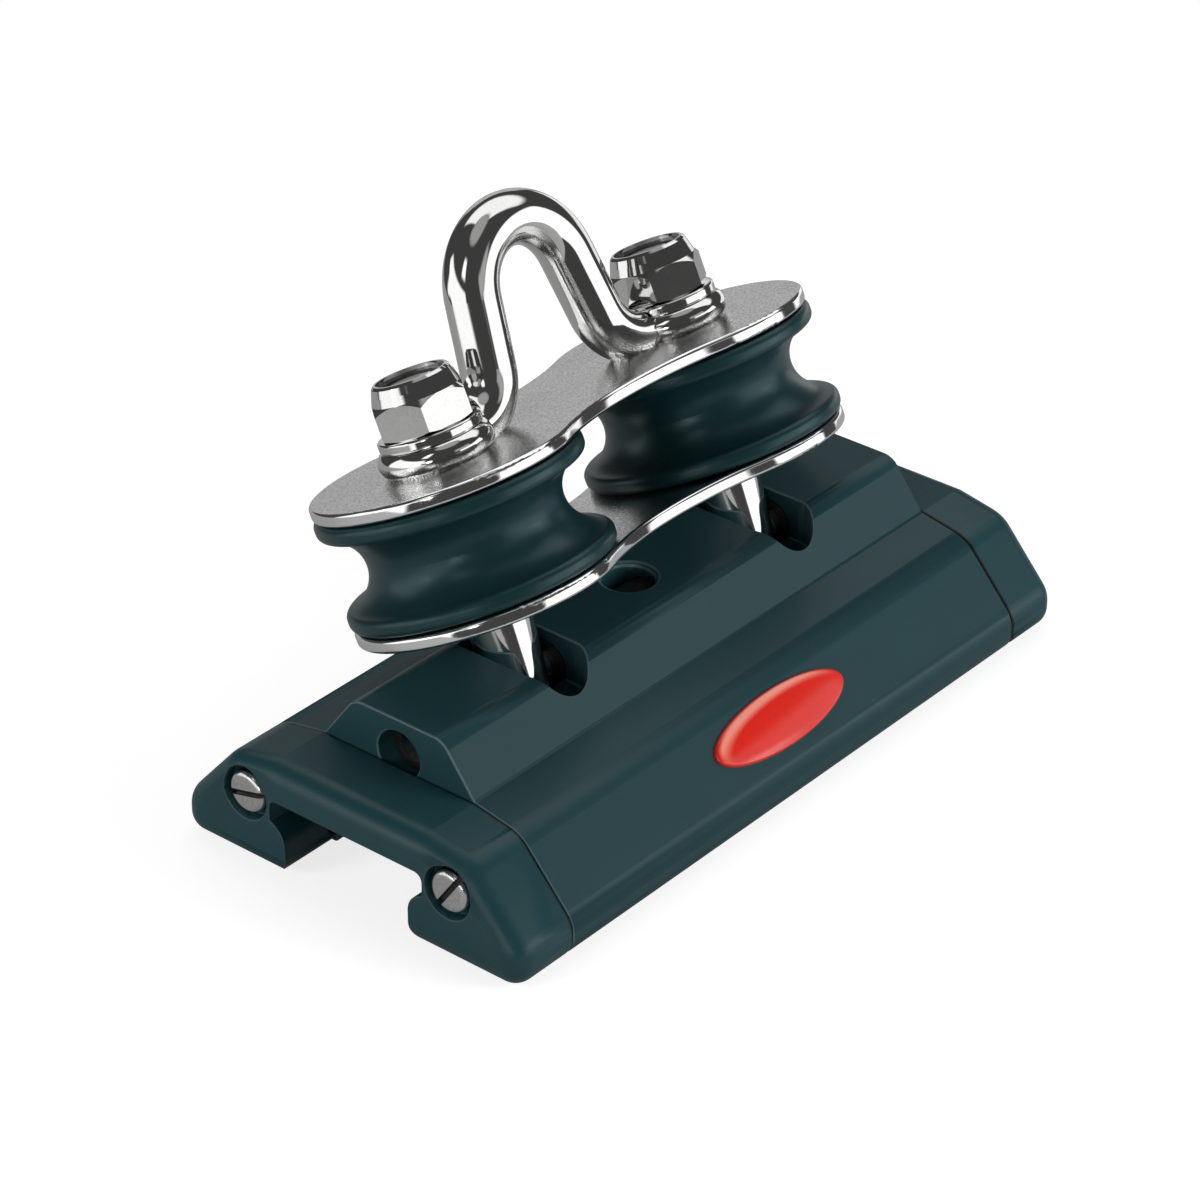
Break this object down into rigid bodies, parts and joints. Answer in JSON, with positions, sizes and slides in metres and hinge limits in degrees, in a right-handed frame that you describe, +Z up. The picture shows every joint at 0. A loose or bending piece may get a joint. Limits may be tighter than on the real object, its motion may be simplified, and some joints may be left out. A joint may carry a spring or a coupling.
{
  "type": "mainsheet traveller car",
  "caption": "Mainsheet traveller car: ball-bearing slider for a T-track with a tilting head of two control-line sheaves between plates and a shackle bow.",
  "frame": {"origin": "on the underside plane at mid length and mid width, in the middle of the channel that slides on the track", "axes": "+X along the track, -Y toward the flank with the label, +Z up from the underside to the shackle bow"},
  "size_m": [0.154, 0.0775, 0.0958],
  "materials": {
    "anodised_extrusion": "satin",
    "moulded_cap": "satin",
    "moulded_sheave": "satin",
    "brushed_plate": "satin with polished edges",
    "polished_steel": "polished",
    "fastener_steel": "polished",
    "bush_plastic": "matt",
    "ball_plastic": "satin",
    "insert_nylon": "matt",
    "domed_label": "gloss"
  },
  "bodies": {
    "carriage": {"car_body": "anodised_extrusion", "end_cap_near": "moulded_cap", "end_cap_far": "moulded_cap", "cap_screw_near_left": "fastener_steel", "cap_screw_near_right": "fastener_steel", "cap_screw_far_left": "fastener_steel", "cap_screw_far_right": "fastener_steel", "pivot_rod": "fastener_steel", "rod_bush_near": "bush_plastic", "rod_bush_middle": "bush_plastic", "rod_bush_far": "bush_plastic", "ball_train_left": "ball_plastic", "ball_train_right": "ball_plastic", "flank_label": "domed_label"},
    "head": {"lower_plate": "brushed_plate", "upper_plate": "brushed_plate", "shackle_bow": "polished_steel", "post_near": "polished_steel", "post_far": "polished_steel", "sheave_bush_near": "bush_plastic", "sheave_bush_far": "bush_plastic", "washer_near": "polished_steel", "washer_far": "polished_steel", "lock_nut_near": "fastener_steel", "lock_nut_far": "fastener_steel", "nut_insert_near": "insert_nylon", "nut_insert_far": "insert_nylon"},
    "sheave_near_body": {"sheave_near": "moulded_sheave"},
    "sheave_far_body": {"sheave_far": "moulded_sheave"}
  },
  "joints": [
    {"name": "head_tilt", "type": "hinge", "parent": "carriage", "child": "head", "pos_m": [0, 0, 0.0244], "axis": [1, 0, 0], "range_deg": [0, 50]},
    {"name": "sheave_near_spin", "type": "hinge", "parent": "head", "child": "sheave_near_body", "pos_m": [-0.03175, 0, 0.0244], "axis": [0, 0.4226, 0.9063], "continuous": true},
    {"name": "sheave_far_spin", "type": "hinge", "parent": "head", "child": "sheave_far_body", "pos_m": [0.03175, 0, 0.0244], "axis": [0, 0.4226, 0.9063], "continuous": true}
  ]
}
